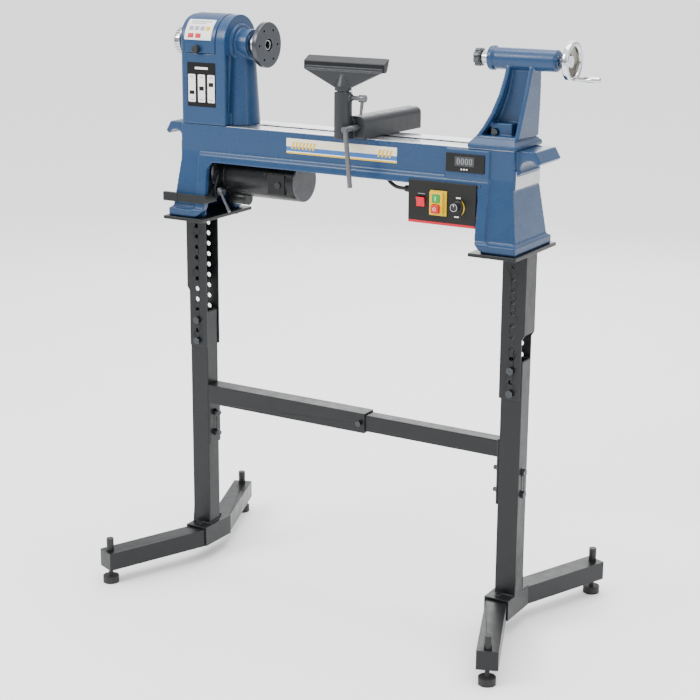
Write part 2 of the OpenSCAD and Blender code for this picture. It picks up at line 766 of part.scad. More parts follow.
// Plate with a curved slot that the locking stud slides in
module lock_bracket() {
  x1 = plate_x0 - 7;
  reach = norm([motor_hinge[0] - arm_y, motor_hinge[1] - arm_lock_z]);
  rest_a = atan2(arm_lock_z - motor_hinge[1], arm_y - motor_hinge[0]);
  slot_r = 4.8;
  low = arm_lock_z - 24;
  high = arm_lock_z + 26;
  foot_top = arm_lock_z - 4;
  color("#26282a") at_bed() {
    along_x(x1 - 4, x1) difference() {
      polygon([
        [leg_wall_y(low), low], [-34, low], [-34, arm_lock_z + 6], [-43, arm_lock_z + 17],
        [-50, high], [leg_wall_y(high), high]
      ]);
      translate([motor_hinge[0], motor_hinge[1]]) rotate(rest_a) {
        for (a = [0, -tension_swing]) rotate(a) translate([reach, 0]) circle(r = slot_r);
        intersection() {
          difference() {
            circle(r = reach + slot_r, $fn = 180);
            circle(r = reach - slot_r, $fn = 180);
          }
          polygon([[0, 0], [2 * reach, 0], 2 * reach * polar(-tension_swing)]);
        }
      }
    }
    // Foot against the leg, kept below the stud's path
    along_x(x1 - 26, x1) polygon([
      [leg_wall_y(low), low], [leg_wall_y(low) + 3, low],
      [leg_wall_y(foot_top) + 3, foot_top], [leg_wall_y(foot_top), foot_top]
    ]);
  }
}

module lock_lever() {
  x0 = plate_x0 - 14;
  color("#c4c7ca") at_bed() {
    bar_x(4, x0, motor_x[0] + 6, arm_y, arm_lock_z);
    bar_x(6, x0 - 5, x0 + eps, arm_y, arm_lock_z);
    bar_x(7.5, motor_x[0] + 1, motor_x[0] + 14, arm_y, arm_lock_z);
    translate([motor_x[0] + 8, arm_y - 7, arm_lock_z + 6]) {
      sphere(r = 6.5);
      rotate([8, 146, 0]) cylinder(r = 3.2, h = 56);
    }
  }
}

// ---- controls ----
module control_box() color("#1a1b1d") at_bed() difference() {
  union() {
    span([box_x[0], panel_y + 4 - eps, box_z[0]], [box_x[1], -16, box_z[1]]);
    span([panel_x[0], panel_y, panel_z[0]], [panel_x[1], panel_y + 4, panel_z[1]]);
  }
  span([box_x[0] + 3, panel_y + 4, box_z[0] + 3], [box_x[1] - 3, -19, box_z[1] - 3]);
  span([rocker_c[0] - 10, panel_y - 1, rocker_c[1] - 11.5],
       [rocker_c[0] + 10, panel_y + 5, rocker_c[1] + 11.5]);
  span([housing_x[0] + 6, panel_y - 1, housing_z[0] + 5],
       [housing_x[1] - 6, panel_y + 5, housing_z[1] - 5]);
  bar_y(3.2, panel_y - 1, panel_y + 5, knob_c[0], knob_c[1]);
  bar_x(5.2, box_x[0] - 1, box_x[0] + 4, -45, 958);
}

// Rocker that tips about a short axle behind the panel
module rocker_switch() {
  w = 9.4;
  color("#c8202c") at_bed() {
    along_x(rocker_c[0] - w, rocker_c[0] + w) polygon([
      [panel_y + 3, rocker_c[1] - 9], [panel_y - 2, rocker_c[1] - 10.2], [panel_y - 3, rocker_c[1]],
      [panel_y - 6, rocker_c[1] + 10], [panel_y + 3, rocker_c[1] + 9.4]
    ]);
    bar_x(3.5, rocker_c[0] - w + 1, rocker_c[0] + w - 1, panel_y + 2, rocker_c[1]);
  }
}

module switch_housing() {
  x = housing_x;
  z = housing_z;
  mid = (z[0] + z[1]) / 2;
  color("#f0c619") at_bed() difference() {
    union() {
      span([x[0], panel_y - 3, z[0]], [x[1], panel_y - 0.1, z[1]]);
      span([x[0] + 2, panel_y - 10, z[0] + 2], [x[1] - 6, panel_y - 3 + eps, z[1] - 2]);
    }
    span([x[0] + 8, panel_y - 11, mid + 2], [x[1] - 12, panel_y + 1, z[1] - 7]);
    span([x[0] + 8, panel_y - 11, z[0] + 6], [x[1] - 12, panel_y + 1, mid - 2]);
  }
}

module push_button(z0, z1, proud) {
  x = [housing_x[0] + 8 + gap, housing_x[1] - 12 - gap];
  span([x[0], panel_y - 10 - proud, z0 + gap], [x[1], panel_y + 1, z1 - gap]);
  span([x[0] + 4, panel_y + 1 - eps, z0 + 4], [x[1] - 4, panel_y + 8, z1 - 4]);
}
module green_button() color("#2f9e4b") at_bed()
  push_button((housing_z[0] + housing_z[1]) / 2 + 2, housing_z[1] - 7, 1.5);
module red_button() color("#d22a35") at_bed()
  push_button(housing_z[0] + 6, (housing_z[0] + housing_z[1]) / 2 - 2, 6);

module speed_knob() color("#141414") at_bed() {
  c = knob_c;
  bar_y(12, panel_y - 6, panel_y - 1, c[0], c[1]);
  bar_y(9.5, panel_y - 21, panel_y - 6 + eps, c[0], c[1]);
  bar_y(3, panel_y - 1.5, panel_y + 12, c[0], c[1]);
}

module cable_gland() color("#101010") at_bed() difference() {
  union() {
    bar_x(8, 172, box_x[0] - 0.1, -45, 958);
    bar_x(6.5, 157, 172 + eps, -45, 958);
    bar_x(5, 181, box_x[0] + 8, -45, 958);
  }
  bar_x(3.6, 158, box_x[0] + 9, -45, 958);
}

// Tube swept along the cable's own points
function unit(v) = v / norm(v);
function path_dir(p, i) = unit(p[min(i + 1, len(p) - 1)] - p[max(i - 1, 0)]);
function ring_at(p, i, r, sides) =
  let (d = path_dir(p, i), u = unit(cross(d, [0, 0, 1])), v = cross(u, d))
  [for (k = [0:sides - 1]) p[i] + r * (u * cos(360 * k / sides) + v * sin(360 * k / sides))];
module swept_tube(p, r, sides) {
  n = len(p);
  pts = [for (i = [0:n - 1]) each ring_at(p, i, r, sides)];
  skin = [for (i = [0:n - 2]) for (k = [0:sides - 1])
    [i * sides + k, i * sides + (k + 1) % sides, (i + 1) * sides + (k + 1) % sides, (i + 1) * sides + k]];
  first = [for (k = [sides - 1:-1:0]) k];
  last = [for (k = [0:sides - 1]) (n - 1) * sides + k];
  polyhedron(pts, concat(skin, [first, last]), convexity = 4);
}
module motor_cable() color("#0d0d0d") at_bed() swept_tube(cable_path, cable_r, 10);

module speed_display() color("#141517") at_bed()
  span([264, -way_half - band_t - 2.5, 1008], [352, -way_half - band_t, 1046]);

// ---- banjo and tool rest ----
module at_stud() translate([stud_x, 0, way_z]) rotate([0, 0, -banjo_turn]) children();

// Plate under the ways that the stud pulls up against them
module banjo_clamp_plate() color("#4a4d50") at_bed() translate([stud_x, 0, way_z]) difference() {
  union() {
    span([-22, -30, -way_t - 10.5], [22, 30, -way_t - 0.5]);
    span([-12, -slot_w / 2 + 0.5, -way_t - 1], [12, slot_w / 2 - 0.5, -4]);
  }
  translate([0, 0, -way_t - 12]) cylinder(r = 6.2, h = way_t + 20);
}

module banjo_stud() color("#b4b8bc") at_bed() at_stud() difference() {
  union() {
    translate([0, 0, -way_t - 22]) cylinder(r = 6, h = way_t + 40);
    translate([0, 0, -way_t - 19]) cylinder(r = 10, h = 8, $fn = 6);
    bar_y(10.5 - 2, -8, 8, 0, shaft_h);
    span([-7, -8, 4], [7, 8, shaft_h]);
  }
  bar_y(6.8, -9, 9, 0, shaft_h);
}

module banjo() {
  round_r = 14;
  color("#3c3e42") at_bed() at_stud() difference() {
    union() {
      along_y(arm_front, arm_back) {
        polygon(concat([[arm_left, rest_gap]], [[arm_right, rest_gap]],
          arc([arm_right - round_r, arm_top - round_r], round_r, 0, 90),
          arc([arm_left + round_r, arm_top - round_r], round_r, 90, 180)));
      }
      translate([socket[0], socket[1], rest_gap]) cylinder(r = socket_r, h = socket_top - rest_gap);
      span([arm_left, socket[1], rest_gap], [-8, arm_front + 1, arm_top - 8]);
      bar_x(8, socket[0], socket[0] + socket_r + 4, socket[1], lock_h);
    }
    span([-9.5, slot_y[0], -1], [9.5, slot_y[1], 37]);
    bar_y(shaft_r + fit, arm_front - 30, arm_back + 1, 0, shaft_h);
    translate([socket[0], socket[1], 9]) cylinder(r = post_r + fit, h = socket_top);
    bar_x(5 + fit, socket[0], socket[0] + 40, socket[1], lock_h);
  }
}

// Eccentric shaft through the arm with its hand lever
module banjo_lever() {
  lever_y = shaft_end + 6;
  color("#8b8f94") at_bed() at_stud() {
    bar_y(shaft_r, shaft_end, slot_y[0] - 1, 0, shaft_h);
    bar_y(5.5, slot_y[0] - 2, slot_y[1] + 2, throw, shaft_h);
    bar_y(shaft_r, slot_y[1] + 1, arm_back + 3, 0, shaft_h);
    translate([0, lever_y, shaft_h]) rotate([0, 174, 0]) cylinder(r = 5.2, h = lever_len);
  }
}

module tool_rest_post() color("#8b8f94") at_bed() translate([rest_x, rest_y, 0]) {
  translate([0, 0, way_z + 12]) cylinder(r = post_r, h = post_top - way_z - 12);
  translate([0, 0, post_top - 1]) cylinder(r = 8, h = 17);
}

module tool_rest_blade() {
  half = rest_len / 2;
  neck_r = 18;
  top = blade_z + 18.5;
  color("#3c3e42") at_bed() translate([rest_x, rest_y, 0]) difference() {
    union() {
      translate([0, 0, post_top + 0.2]) cylinder(r = neck_r, h = 10);
      along_y(-7, 7) polygon([[-neck_r, post_top + 6], [neck_r, post_top + 6],
                              [half - 4, blade_z + 1], [4 - half, blade_z + 1]]);
      translate([0, 0, post_top + 10]) cylinder(r1 = neck_r, r2 = 9, h = 22);
      along_x(-half, half) polygon([[0, top], [20, top + 10.5], [22, top + 7], [14, blade_z + 4],
                                    [10, blade_z], [0, blade_z]]);
      span([4 - half, -1, blade_z], [half - 4, 10, blade_z + 8]);
    }
    translate([0, 0, post_top - 1]) cylinder(r = 8 + fit, h = 18);
  }
}

module rest_lock_lever() color("#2b2d30") at_bed() at_stud() translate([socket[0], socket[1], lock_h]) {
  hub_x = 43;
  bar_x(5, post_r + 0.4, hub_x, 0, 0);
  bar_x(8, hub_x - 1, hub_x + 13, 0, 0);
  translate([hub_x + 6, 0, 0]) rotate([0, 187, 0]) cylinder(r1 = 4, r2 = 3, h = 36);
}

// ---- tailstock ----
function stem_left() = [[318, way_z + 20], [333, way_z + 42], [348, way_z + 71], [361, way_z + 109],
                        [368, way_z + 145], [370, way_z + 165]];
function stem_right() = [[429, way_z + 165], [426, way_z + 122], [422, way_z + 82], [415, way_z + 20]];

module stem_outline(inset) polygon(concat(
  [for (p = stem_left()) p + [inset, 0]], [for (p = stem_right()) p - [inset, 0]]));

module tailstock() color("#44658a") at_bed() difference() {
  b = barrel_x;
  union() {
    // Base with bevelled top edges
    intersection() {
      along_y(-base_half, base_half) polygon([
        [base_x[0], way_z + rest_gap], [base_x[1], way_z + rest_gap], [base_x[1], way_z + 8.5],
        [base_x[1] - 9, way_z + 20.5], [base_x[0] + 8, way_z + 20.5], [base_x[0], way_z + 8.5]
      ]);
      along_x(base_x[0], base_x[1]) polygon([
        [-base_half, way_z], [base_half, way_z], [base_half, way_z + 8.5], [50, way_z + 20.5],
        [-50, way_z + 20.5], [-base_half, way_z + 8.5]
      ]);
    }
    // Curved stem with a thin web between its edge ribs
    difference() {
      intersection() {
        along_y(-base_half, base_half) stem_outline(0);
        along_x(base_x[0], b[1]) polygon([
          [-50, way_z + 18], [50, way_z + 18], [38, way_z + 82], [30, way_z + 122], [20, way_z + 170],
          [-20, way_z + 170], [-30, way_z + 122], [-38, way_z + 82]
        ]);
      }
      both_faces() along_y(-base_half, -8) difference() {
        stem_outline(9);
        translate([0, way_z - 1]) square([base_x[1] * 2, 26]);
      }
    }
    // Clamp boss at the foot of the web
    span([clamp_x - 12, -31, way_z + 15], [clamp_x + 36, -6, way_z + 50]);
    span([clamp_x - 14, -10, way_z + 15], [clamp_x + 14, 40, way_z + 46]);
    bar_x(barrel_r, b[0] + 4, b[1] - 5, 0, spindle_z);
    turned_x(0, spindle_z)
      polygon([[0, b[1] - 5.01], [barrel_r, b[1] - 5.01], [barrel_r - 5, b[1]], [0, b[1]]]);
    turned_x(0, spindle_z) polygon([[0, b[0]], [23.5, b[0]], [25.5, b[0] + 2], [25.5, b[0] + 11],
                                    [barrel_r, b[0] + 15], [0, b[0] + 15]]);
  }
  bar_x(quill_r + fit, b[0] - 1, b[1] - 12, 0, spindle_z);
  bar_x(6.4, b[1] - 13, b[1] + 1, 0, spindle_z);
  // Room for the clamp stud and its eccentric shaft
  span([clamp_x - 9, -10, way_z - 1], [clamp_x + 9, 10, way_z + 43]);
  bar_y(6.35, -60, 60, clamp_x, way_z + clamp_h);
}

module tailstock_clamp() color("#4a4d50") at_bed() translate([clamp_x, 0, way_z]) difference() {
  union() {
    span([-22, -30, -way_t - 10.5], [22, 30, -way_t - 0.5]);
    span([-12, -slot_w / 2 + 0.5, -way_t - 1], [12, slot_w / 2 - 0.5, -4]);
    translate([0, 0, -way_t - 22]) cylinder(r = 6, h = way_t + 46);
    translate([0, 0, -way_t - 19]) cylinder(r = 10, h = 8.5, $fn = 6);
    bar_y(8.5, -8, 8, 0, clamp_h);
    span([-7, -8, 2], [7, 8, clamp_h]);
  }
  bar_y(6.8, -9, 9, 0, clamp_h);
}

// Eccentric shaft with a black end knob in front and its lever behind the bed
module tailstock_lever() color("#8b8f94") at_bed() translate([0, 0, way_z + clamp_h]) {
  bar_y(6.3, -38, -10, clamp_x, 0);
  bar_y(5.5, -11, 11, clamp_x + throw, 0);
  bar_y(6.3, 10, 88, clamp_x, 0);
  translate([clamp_x, 81, 0]) rotate([0, 180, 0]) cylinder(r = 4.6, h = lever_len);
}

// Hollow quill with the live centre's fixed arbor in its nose
module quill() color("#d0d3d6") at_bed() {
  difference() {
    turned_x(0, spindle_z) polygon([[0, quill_x[0]], [quill_r - 1.5, quill_x[0]], [quill_r, quill_x[0] + 1.5],
                                    [quill_r, quill_x[1]], [0, quill_x[1]]]);
    bar_x(6.2, quill_x[0] + 60, quill_x[1] + 1, 0, spindle_z);
  }
  bar_x(10, quill_x[0] - 1.5, quill_x[0] + eps, 0, spindle_z);
  bar_x(5, quill_x[0] - 12, quill_x[0], 0, spindle_z);
}

module live_centre() color("#1c1d1f") at_bed() difference() {
  x = quill_x[0] - 2;
  turned_x(0, spindle_z) polygon([
    [0, x - 23], [5.5, x - 16.5], [12, x - 16], [15, x - 15], [19, x - 10], [19, x - 1.5], [17.5, x], [0, x]
  ]);
  bar_x(5 + fit, x - 11, x + 1, 0, spindle_z);
}

// Dished handwheel on the quill's screw
module tail_handwheel() color("#d3d6da") at_bed() difference() {
  union() {
    turned_x(0, spindle_z) polygon(concat(
      [[0, 478.4], [12, 478.4], [12, 486], [17, 486], [21, 494], [31, 497.5]],
      arc([wheel_r - 4, 501.5], 4, -90, 0, 5), arc([wheel_r - 5, wheel_x - 5], 5, 0, 90, 5),
      [[32, wheel_x - 1], [30, wheel_x - 4], [29, 502], [15, 498], [12, 503], [0, 503]]
    ));
    bar_x(6, quill_x[1] - 48, 480, 0, spindle_z);
  }
  bar_x(3.2, wheel_x - 14, wheel_x + 1, 0, spindle_z + handle_z);
}

module tail_handle() color("#d3d6da") at_bed() {
  turned_x(0, spindle_z + handle_z) polygon([
    [0, wheel_x - 10], [3.1, wheel_x - 10], [3.1, wheel_x + 0.4], [4.5, wheel_x + 0.4], [4, wheel_x + 14],
    [5, wheel_x + 20], [6.3, wheel_x + 30], [6.3, wheel_x + 50], [5.3, wheel_x + 53], [0, wheel_x + 54]
  ]);
}

// ---- what is drawn ----
lower_leg_left();
lower_leg_right();
foot_arm_front_left();
foot_arm_rear_left();
foot_arm_front_right();
foot_arm_rear_right();
foot_lock_nuts();
crossbar_outer();
crossbar_inner();
stand_bolts();
foot_front_left();
foot_rear_left();
foot_front_right();
foot_rear_right();
upper_leg_left();
upper_leg_right();
bed();
casting_bolts();
headstock();
spindle_bearings();
drive_belt();
belt_door();
hinge_pins();
door_knob();
spindle();
spindle_pulley();
faceplate();
outboard_handwheel();
motor();
motor_end_cover();
motor_terminal_box();
motor_plate();
motor_pulley();
tension_handle();
lock_bracket();
lock_lever();
control_box();
rocker_switch();
switch_housing();
green_button();
red_button();
speed_knob();
cable_gland();
motor_cable();
speed_display();
banjo_clamp_plate();
banjo_stud();
banjo();
banjo_lever();
tool_rest_post();
tool_rest_blade();
rest_lock_lever();
tailstock();
tailstock_clamp();
tailstock_lever();
quill();
live_centre();
tail_handwheel();
tail_handle();
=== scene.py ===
import math
import bpy
import bmesh
from mathutils import Matrix, Vector


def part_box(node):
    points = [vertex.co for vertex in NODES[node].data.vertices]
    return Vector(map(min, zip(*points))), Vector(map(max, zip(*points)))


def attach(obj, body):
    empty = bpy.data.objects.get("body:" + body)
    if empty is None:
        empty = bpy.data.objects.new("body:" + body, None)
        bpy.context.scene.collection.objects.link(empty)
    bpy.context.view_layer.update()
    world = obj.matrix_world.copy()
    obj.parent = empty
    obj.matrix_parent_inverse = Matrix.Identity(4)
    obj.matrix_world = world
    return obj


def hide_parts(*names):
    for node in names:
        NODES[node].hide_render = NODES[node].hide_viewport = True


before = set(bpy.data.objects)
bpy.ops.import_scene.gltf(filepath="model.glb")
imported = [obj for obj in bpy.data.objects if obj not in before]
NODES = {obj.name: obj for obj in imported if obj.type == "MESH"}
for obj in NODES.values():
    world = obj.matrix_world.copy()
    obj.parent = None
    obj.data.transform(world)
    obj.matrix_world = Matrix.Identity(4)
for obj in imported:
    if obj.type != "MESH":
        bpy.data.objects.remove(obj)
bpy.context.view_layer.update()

BX = -0.0255          # x of the bed's middle, from the frame's origin
W = 1.0585            # height of the ways above the floor
SZ = 1.2365           # height of the spindle's axis
MOTOR_Z = 0.941       # height of the motor's axis
HEAD_FRONT = -0.0639  # y of each face that carries printed marks
BED_FRONT = -0.0629
DISPLAY_FRONT = -0.0714
PANEL_FRONT = -0.0744
PRINT = 0.0003        # thickness of a printed mark


def mm(*v):
    """Bed millimetres to frame metres."""
    return (v[0] / 1000 + BX, *(a / 1000 for a in v[1:]))


def X(v):
    """An x in bed millimetres to frame metres."""
    return v / 1000 + BX


# ---------------------------------------------------------------- materials
class Graph:
    """Small wrapper that makes node wiring short."""

    def __init__(self, name):
        self.mat = bpy.data.materials.new(name)
        self.mat.use_nodes = True
        self.t = self.mat.node_tree
        self.bsdf = self.t.nodes["Principled BSDF"]
        self.co = self.t.nodes.new("ShaderNodeTexCoord").outputs["Object"]

    def node(self, kind, **props):
        n = self.t.nodes.new(kind)
        for k, v in props.items():
            setattr(n, k, v)
        return n

    def link(self, a, b):
        self.t.links.new(a, b)

    def noise(self, scale, detail=3.0, rough=0.55, stretch=None, distort=0.0):
        src = self.co
        if stretch:
            m = self.node("ShaderNodeMapping")
            m.inputs["Scale"].default_value = stretch
            self.link(src, m.inputs["Vector"])
            src = m.outputs["Vector"]
        n = self.node("ShaderNodeTexNoise")
        n.inputs["Scale"].default_value = scale
        n.inputs["Detail"].default_value = detail
        n.inputs["Roughness"].default_value = rough
        n.inputs["Distortion"].default_value = distort
        self.link(src, n.inputs["Vector"])
        return n.outputs["Fac"]

    def remap(self, src, lo, hi, a, b):
        n = self.node("ShaderNodeMapRange")
        n.inputs["From Min"].default_value = lo
        n.inputs["From Max"].default_value = hi
        n.inputs["To Min"].default_value = a
        n.inputs["To Max"].default_value = b
        self.link(src, n.inputs["Value"])
        return n.outputs["Result"]

    def mix(self, fac, a, b):
        n = self.node("ShaderNodeMix", data_type="RGBA")
        self.link(fac, n.inputs["Factor"])
        for s, v in (("A", a), ("B", b)):
            sock = [i for i in n.inputs if i.name == s and i.type == "RGBA"][0]
            if isinstance(v, (tuple, list)):
                sock.default_value = (*v[:3], 1)
            else:
                self.link(v, sock)
        return [o for o in n.outputs if o.type == "RGBA"][0]

    def math(self, op, a, b=None):
        n = self.node("ShaderNodeMath", operation=op)
        for i, v in enumerate((a, b)):
            if v is None:
                continue
            if isinstance(v, (int, float)):
                n.inputs[i].default_value = v
            else:
                self.link(v, n.inputs[i])
        return n.outputs[0]

    def edges(self, radius):
        """1 on a convex edge, 0 on a flat face."""
        bev = self.node("ShaderNodeBevel", samples=4)
        bev.inputs["Radius"].default_value = radius
        geo = self.node("ShaderNodeNewGeometry")
        dot = self.node("ShaderNodeVectorMath", operation="DOT_PRODUCT")
        self.link(bev.outputs["Normal"], dot.inputs[0])
        self.link(geo.outputs["Normal"], dot.inputs[1])
        return self.remap(dot.outputs["Value"], 0.995, 0.86, 0.0, 1.0)

    def pointiness(self):
        return self.node("ShaderNodeNewGeometry").outputs["Pointiness"]

    def edge_wear_and_highlight(self):
        """1 on the rounded edges of a dense casting mesh, where the paint is lightened: partly wear, partly
        painted highlight.
        """
        return self.remap(self.pointiness(), 0.53, 0.60, 0.0, 1.0)

    def painted_corner_shade(self):
        """1 in the inner corners of a dense casting mesh, where the paint is darkened as painted shade."""
        return self.remap(self.pointiness(), 0.455, 0.39, 0.0, 1.0)

    def bump(self, src, distance, strength=1.0, after=None):
        b = self.node("ShaderNodeBump")
        b.inputs["Distance"].default_value = distance
        b.inputs["Strength"].default_value = strength
        self.link(src, b.inputs["Height"])
        if after is not None:
            self.link(after, b.inputs["Normal"])
        return b.outputs["Normal"]


def tone(c, f):
    return tuple(min(1.0, v * f) for v in c)


def painted(name, colour, rough, coat=0.0, peel=0.00012, peel_scale=420.0, var=0.1, edge=None,
            edge_r=0.0012, grit=0.0, spec=0.5, soft=False):
    """Paint: peel and grit are bump depths in metres, soft is for the dense meshes that cast() makes and
    paints shade into their inner corners; edge is a lighter colour on convex edges, partly wear and partly
    painted highlight.
    """
    g = Graph(name)
    p = g.bsdf
    base = g.mix(g.noise(5.0, 4.0), tone(colour, 1 - var), tone(colour, 1 + var))
    # painted highlight, partly wear: convex edges lighten toward the edge colour, broken up by noise
    if edge:
        where = g.edge_wear_and_highlight() if soft else g.edges(edge_r)
        m = g.math("MULTIPLY", where, g.remap(g.noise(60.0, 2.0), 0.3, 0.7, 0.35, 1.0))
        base = g.mix(m, base, edge)
    # painted shade: inner corners of the casting darken to 0.42 of the colour
    if soft:
        base = g.mix(g.painted_corner_shade(), base, tone(colour, 0.42))
    g.link(base, p.inputs["Base Color"])
    g.link(g.remap(g.noise(38.0, 4.0), 0.3, 0.7, rough - 0.06, rough + 0.07), p.inputs["Roughness"])
    p.inputs["Specular IOR Level"].default_value = spec
    p.inputs["Coat Weight"].default_value = coat
    p.inputs["Coat Roughness"].default_value = 0.12
    n = g.bump(g.noise(peel_scale, 2.0), peel)
    if grit:
        n = g.bump(g.noise(90.0, 5.0, 0.6), grit, 1.0, n)
    g.link(n, p.inputs["Normal"])
    return g.mat


def metal(name, colour, rough, brush=None, brush_depth=0.00004, var=0.06, fine=900.0, dark=None, edge=None):
    """Bare metal: brush stretches the streaks, fine is their scale, dark is a second tone in patches."""
    g = Graph(name)
    p = g.bsdf
    p.inputs["Metallic"].default_value = 1.0
    streak = g.noise(fine, 3.0, 0.6, brush) if brush else g.noise(fine * 0.3, 4.0)
    base = g.mix(streak, tone(colour, 1 - var), tone(colour, 1 + var))
    if dark:
        base = g.mix(g.remap(g.noise(9.0, 6.0, 0.65), 0.52, 0.78, 0.0, 0.8), base, dark)
    # painted highlight, partly wear: convex edges lighten toward the edge colour
    if edge:
        base = g.mix(g.edges(0.0008), base, edge)
    g.link(base, p.inputs["Base Color"])
    g.link(g.remap(streak, 0.25, 0.75, rough * 0.75, rough * 1.3), p.inputs["Roughness"])
    g.link(g.bump(streak, brush_depth), p.inputs["Normal"])
    return g.mat


def plastic(name, colour, rough, grain=0.00006, grain_scale=700.0, var=0.08):
    g = Graph(name)
    p = g.bsdf
    p.inputs["Specular IOR Level"].default_value = 0.3
    g.link(g.mix(g.noise(14.0, 3.0), tone(colour, 1 - var), tone(colour, 1 + var)), p.inputs["Base Color"])
    g.link(g.remap(g.noise(60.0, 3.0), 0.3, 0.7, rough - 0.05, rough + 0.06), p.inputs["Roughness"])
    g.link(g.bump(g.noise(grain_scale, 2.0), grain), p.inputs["Normal"])
    return g.mat


def printed(name, colour, rough=0.35):
    m = plastic(name, colour, rough, 0.00002, 1200.0, 0.03)
    m.node_tree.nodes["Principled BSDF"].inputs["Specular IOR Level"].default_value = 0.2
    return m


BLUE = (0.0125, 0.0430, 0.1080)
# every edge colour below is a painted highlight on convex edges, partly wear; soft=True also paints shade
# into inner corners
M = {
    "blue": painted("cast_blue_enamel", BLUE, 0.30, coat=0.10, peel=0.00006, peel_scale=230.0, var=0.05,
                    edge=(0.021, 0.064, 0.145), grit=0.00003, spec=0.30, soft=True),
    "stand": painted("powder_coat_black", (0.0060, 0.0072, 0.0080), 0.33, peel=0.00010, peel_scale=620.0,
                     var=0.25, edge=(0.050, 0.056, 0.062), edge_r=0.0013, spec=0.30),
    "dark": painted("hammered_charcoal", (0.0150, 0.0170, 0.0200), 0.40, peel=0.00016, peel_scale=260.0,
                    var=0.16, edge=(0.075, 0.080, 0.090), grit=0.00012, spec=0.4, soft=True),
    "dark_bar": painted("dark_steel_bar", (0.050, 0.054, 0.062), 0.26, coat=0.2, peel=0.00006,
                        peel_scale=500.0, var=0.2, edge=(0.22, 0.23, 0.25), spec=0.7),
    # painted shadow: near-black paint for dark sheets laid where there is only shade
    "shadow_paint": painted("painted_shadow_black", (0.0055, 0.0060, 0.0068), 0.5, peel=0.00010,
                            peel_scale=500.0, var=0.2, spec=0.2),
    "ways": metal("ground_ways", (0.55, 0.555, 0.575), 0.27, brush=(0.04, 1.0, 1.0), brush_depth=0.00003,
                  var=0.09, fine=1500.0, dark=(0.36, 0.37, 0.39)),
    "steel": metal("turned_steel", (0.47, 0.48, 0.50), 0.24, brush=(9.0, 0.5, 0.5), brush_depth=0.00002,
                   var=0.07, fine=420.0),
    # painted reflection: the dark patches and strong streaks in the chrome's colour stand in for the dark
    # bands it reflects
    "chrome": metal("polished_chrome", (0.62, 0.63, 0.66), 0.10, brush=(6.0, 0.6, 0.6),
                    brush_depth=0.00001, var=0.10, fine=120.0, dark=(0.20, 0.205, 0.225)),
    "facing": metal("blackened_facing", (0.072, 0.077, 0.086), 0.33, brush=(9.0, 1.0, 1.0), var=0.2,
                    fine=500.0, edge=(0.25, 0.26, 0.28)),
    "bolt": metal("black_oxide", (0.060, 0.063, 0.070), 0.40, brush_depth=0.00005, var=0.2,
                  edge=(0.20, 0.20, 0.21)),
    "alu": metal("cast_aluminium", (0.66, 0.67, 0.69), 0.34, brush=(9.0, 1.0, 1.0), brush_depth=0.00003,
                 fine=500.0),
    "dish": metal("dish_turned", (0.23, 0.215, 0.19), 0.24, brush=(9.0, 0.6, 0.6), brush_depth=0.00003,
                  var=0.25, fine=260.0),
    "motor": painted("motor_black", (0.0045, 0.0052, 0.0056), 0.30, peel_scale=380.0, var=0.2,
                     edge=(0.03, 0.032, 0.034), edge_r=0.001, spec=0.28),
    "motor_end": painted("motor_end_grey", (0.030, 0.033, 0.038), 0.45, peel=0.00016,
                         edge=(0.11, 0.115, 0.125)),
    "black": plastic("moulded_black", (0.018, 0.018, 0.019), 0.40),
    "gloss_black": plastic("display_black", (0.0040, 0.0040, 0.0044), 0.25, grain=0.00001),
    "rubber": plastic("foot_rubber", (0.020, 0.020, 0.020), 0.62, grain=0.00012, grain_scale=500.0,
                      var=0.15),
    "cable": plastic("cable_jacket", (0.014, 0.014, 0.015), 0.46, grain=0.00005, grain_scale=900.0),
    "belt": plastic("ribbed_belt", (0.016, 0.016, 0.017), 0.66, grain=0.0002, grain_scale=600.0),
    "red": plastic("switch_red", (0.55, 0.004, 0.018), 0.28),
    "yellow": plastic("switch_yellow", (0.66, 0.42, 0.0), 0.40),
    "green": plastic("switch_green", (0.012, 0.26, 0.045), 0.30),
    "panel": painted("panel_black", (0.0050, 0.0050, 0.0043), 0.42, peel=0.00008, peel_scale=700.0,
                     var=0.15, spec=0.3),
    "panel_red": printed("print_red", (0.50, 0.014, 0.030)),
    "print_white": printed("print_white", (0.78, 0.78, 0.76)),
    "print_black": printed("print_black", (0.0035, 0.0035, 0.0040), rough=0.45),
    "print_yellow": printed("print_yellow", (0.66, 0.42, 0.005)),
    "print_cream": printed("print_cream", (0.74, 0.68, 0.54)),
    "print_blue": printed("print_blue", (0.045, 0.13, 0.34)),
    "print_grey": printed("print_grey", (0.30, 0.31, 0.33)),
    "lcd": plastic("lcd_window", (0.045, 0.048, 0.050), 0.12, grain=0.00001, grain_scale=900.0,
                   var=0.05),
    "lcd_on": plastic("lcd_digits", (0.24, 0.26, 0.27), 0.3, grain=0.00001, grain_scale=900.0, var=0.03),
}


# ---------------------------------------------------------------- mesh helpers
def finish_mesh(bm, name, mat, body, angle=32.0, bevel=0.0, segs=2):
    bmesh.ops.remove_doubles(bm, verts=bm.verts, dist=1e-6)
    bmesh.ops.recalc_face_normals(bm, faces=bm.faces)
    me = bpy.data.meshes.new(name)
    bm.to_mesh(me)
    bm.free()
    ob = bpy.data.objects.new(name, me)
    bpy.context.scene.collection.objects.link(ob)
    me.materials.append(M[mat])
    me.polygons.foreach_set("use_smooth", [True] * len(me.polygons))
    me.set_sharp_from_angle(angle=math.radians(angle))
    if bevel:
        add_bevel(ob, bevel, segs)
    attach(ob, body)
    return ob


def add_bevel(ob, width, segs=2, angle=33.0):
    b = ob.modifiers.new("edge", "BEVEL")
    b.width = width
    b.segments = segs
    b.limit_method = "ANGLE"
    b.angle_limit = math.radians(angle)
    b.use_clamp_overlap = True
    b.harden_normals = False
    b.miter_outer = "MITER_ARC"


